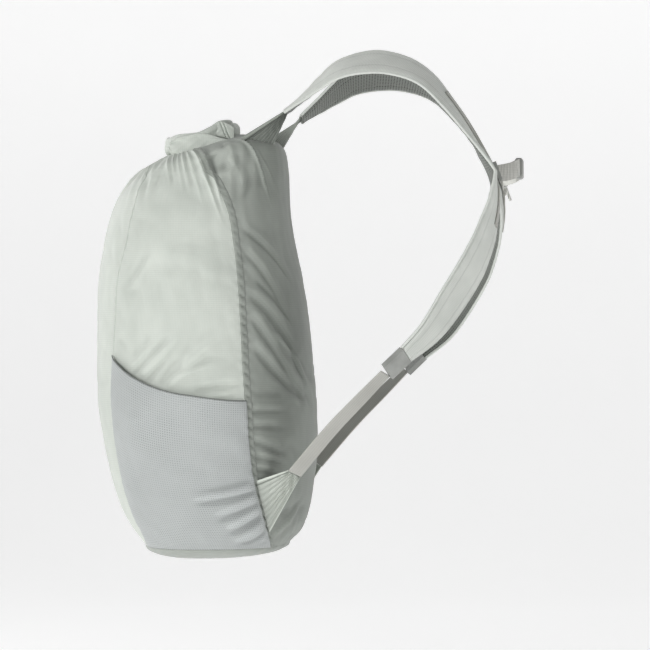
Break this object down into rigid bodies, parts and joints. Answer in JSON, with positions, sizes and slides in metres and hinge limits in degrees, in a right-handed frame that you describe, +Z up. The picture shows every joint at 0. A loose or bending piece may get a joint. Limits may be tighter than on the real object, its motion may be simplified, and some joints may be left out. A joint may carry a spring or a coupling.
{
  "type": "packable backpack",
  "caption": "Light packable backpack with a rolled and clasped top, mesh side pockets, curved padded shoulder straps and a buckled chest webbing, in its worn shape.",
  "frame": {"origin": "midway between the undersides of the two shoulder straps, where the backpack rests on the shoulders", "axes": "+X towards the wearer's front, +Y towards the wearer's left side, +Z up"},
  "size_m": [0.3814, 0.282, 0.4514],
  "materials": {
    "light_cloth": "thin coated ripstop cloth, faint sheen",
    "shaded_cloth": "thin coated ripstop cloth, faint sheen",
    "stretch_mesh": "matt knitted stretch mesh",
    "seam_tape": "matt woven tape",
    "strap_padding": "matt air-mesh padding",
    "webbing": "ribbed narrow webbing",
    "fitting_plastic": "satin moulded plastic"
  },
  "bodies": {
    "root": {"front_panel": "light_cloth", "back_panel": "shaded_cloth", "base_panel": "shaded_cloth", "rolled_collar": "light_cloth", "collar_tuck": "light_cloth", "collar_clasp": "fitting_plastic", "buckle_socket": "fitting_plastic", "buckle_plug": "fitting_plastic", "side_panel_right": "light_cloth", "side_panel_left": "light_cloth", "front_seam_right": "seam_tape", "front_seam_left": "seam_tape", "rear_seam_right": "seam_tape", "rear_seam_left": "seam_tape", "side_pocket_right": "stretch_mesh", "side_pocket_left": "stretch_mesh", "pocket_binding_right": "seam_tape", "pocket_binding_left": "seam_tape", "strap_wing_right": "shaded_cloth", "strap_wing_left": "shaded_cloth", "shoulder_strap_right": "strap_padding", "shoulder_strap_left": "strap_padding", "outer_piping_right": "seam_tape", "outer_piping_left": "seam_tape", "inner_piping_right": "seam_tape", "inner_piping_left": "seam_tape", "lower_gusset_right": "light_cloth", "lower_gusset_left": "light_cloth", "lower_webbing_right": "webbing", "lower_webbing_left": "webbing", "rail_tape_right": "webbing", "rail_tape_left": "webbing", "ladder_lock_right": "fitting_plastic", "ladder_lock_left": "fitting_plastic", "sternum_slider_right": "fitting_plastic", "sternum_slider_left": "fitting_plastic", "sternum_tab_right": "webbing", "sternum_tab_left": "webbing", "sternum_webbing_right": "webbing", "sternum_webbing_left": "webbing"}
  },
  "joints": []
}
